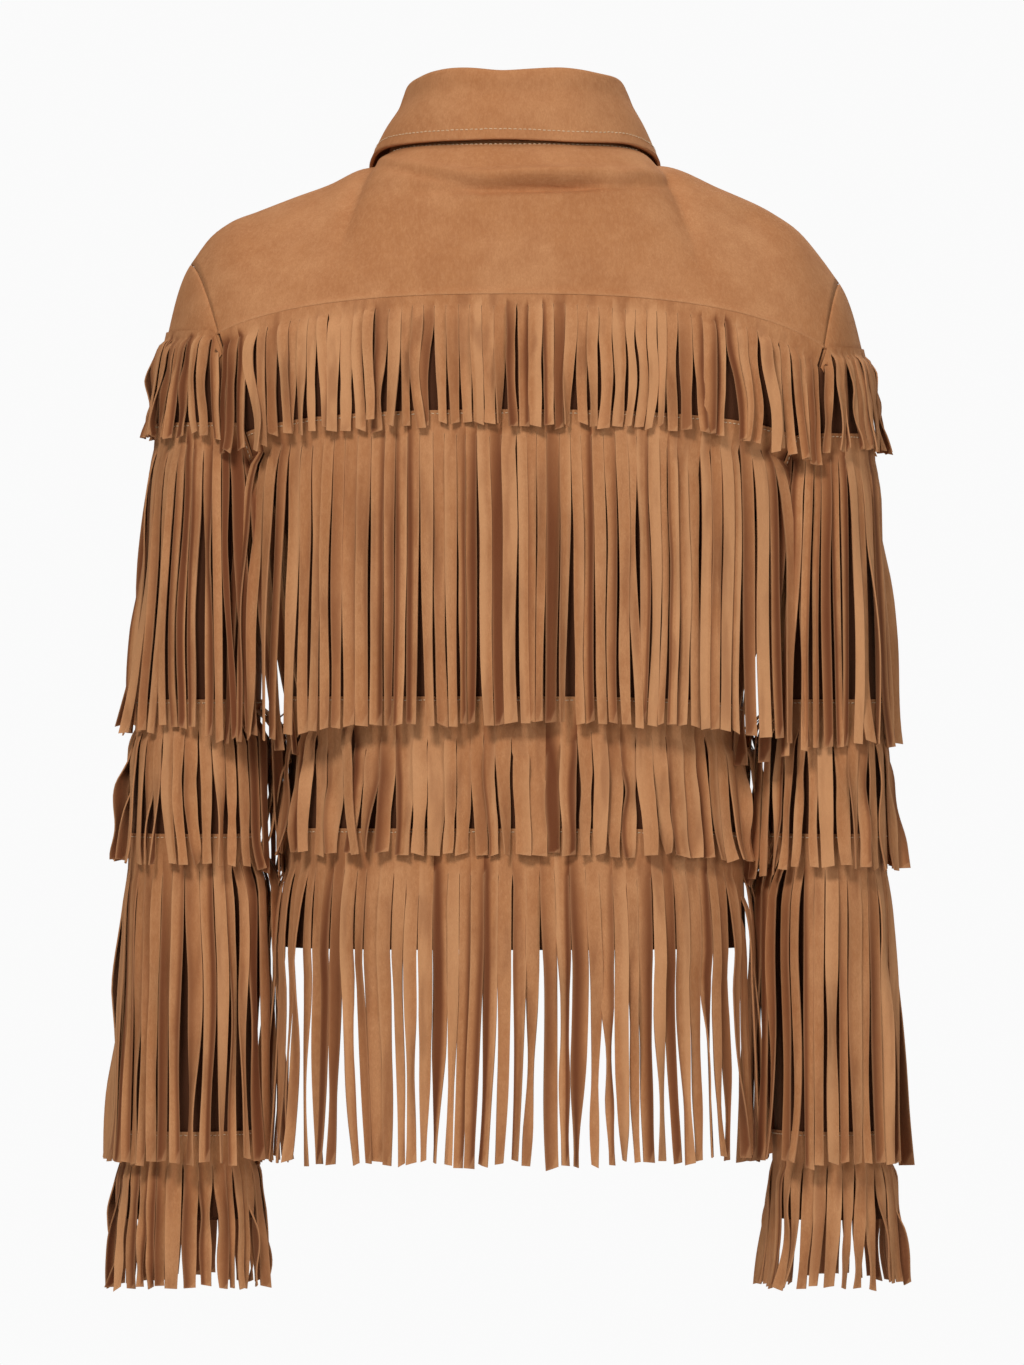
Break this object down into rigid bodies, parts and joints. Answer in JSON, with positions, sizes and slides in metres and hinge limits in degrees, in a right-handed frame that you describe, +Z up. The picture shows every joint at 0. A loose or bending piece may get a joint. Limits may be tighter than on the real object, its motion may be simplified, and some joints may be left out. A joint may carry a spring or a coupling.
{
  "type": "suede jacket",
  "caption": "Short fringed suede jacket with a curved back yoke, fold-down collar and tiers of cut fringe on back and sleeves, in its hollow worn form.",
  "frame": {"origin": "middle of the neck at shoulder height, where the wearer carries the jacket", "axes": "+Z up, -Y the jacket's back, +Y its front, -X the wearer's left"},
  "size_m": [0.5095, 0.232, 0.7834],
  "materials": {
    "suede": "napped, matt",
    "fringe": "napped, matt, with raw cut edges",
    "collar": "napped, matt, topstitched",
    "button": "satin horn"
  },
  "bodies": {
    "root": {"back_yoke": "suede", "back_panel": "suede", "front_left": "suede", "front_right": "suede", "front_placket": "suede", "button_1": "button", "button_2": "button", "button_3": "button", "button_4": "button", "button_5": "button", "button_6": "button", "collar_stand": "collar", "collar_fall": "collar", "sleeve_left": "suede", "sleeve_right": "suede", "fringe_back_1": "fringe", "fringe_back_2": "fringe", "fringe_back_3": "fringe", "fringe_back_4": "fringe", "fringe_sleeve_left_1": "fringe", "fringe_sleeve_left_2": "fringe", "fringe_sleeve_left_3": "fringe", "fringe_sleeve_left_4": "fringe", "fringe_sleeve_left_5": "fringe", "fringe_sleeve_right_1": "fringe", "fringe_sleeve_right_2": "fringe", "fringe_sleeve_right_3": "fringe", "fringe_sleeve_right_4": "fringe", "fringe_sleeve_right_5": "fringe"}
  },
  "joints": []
}
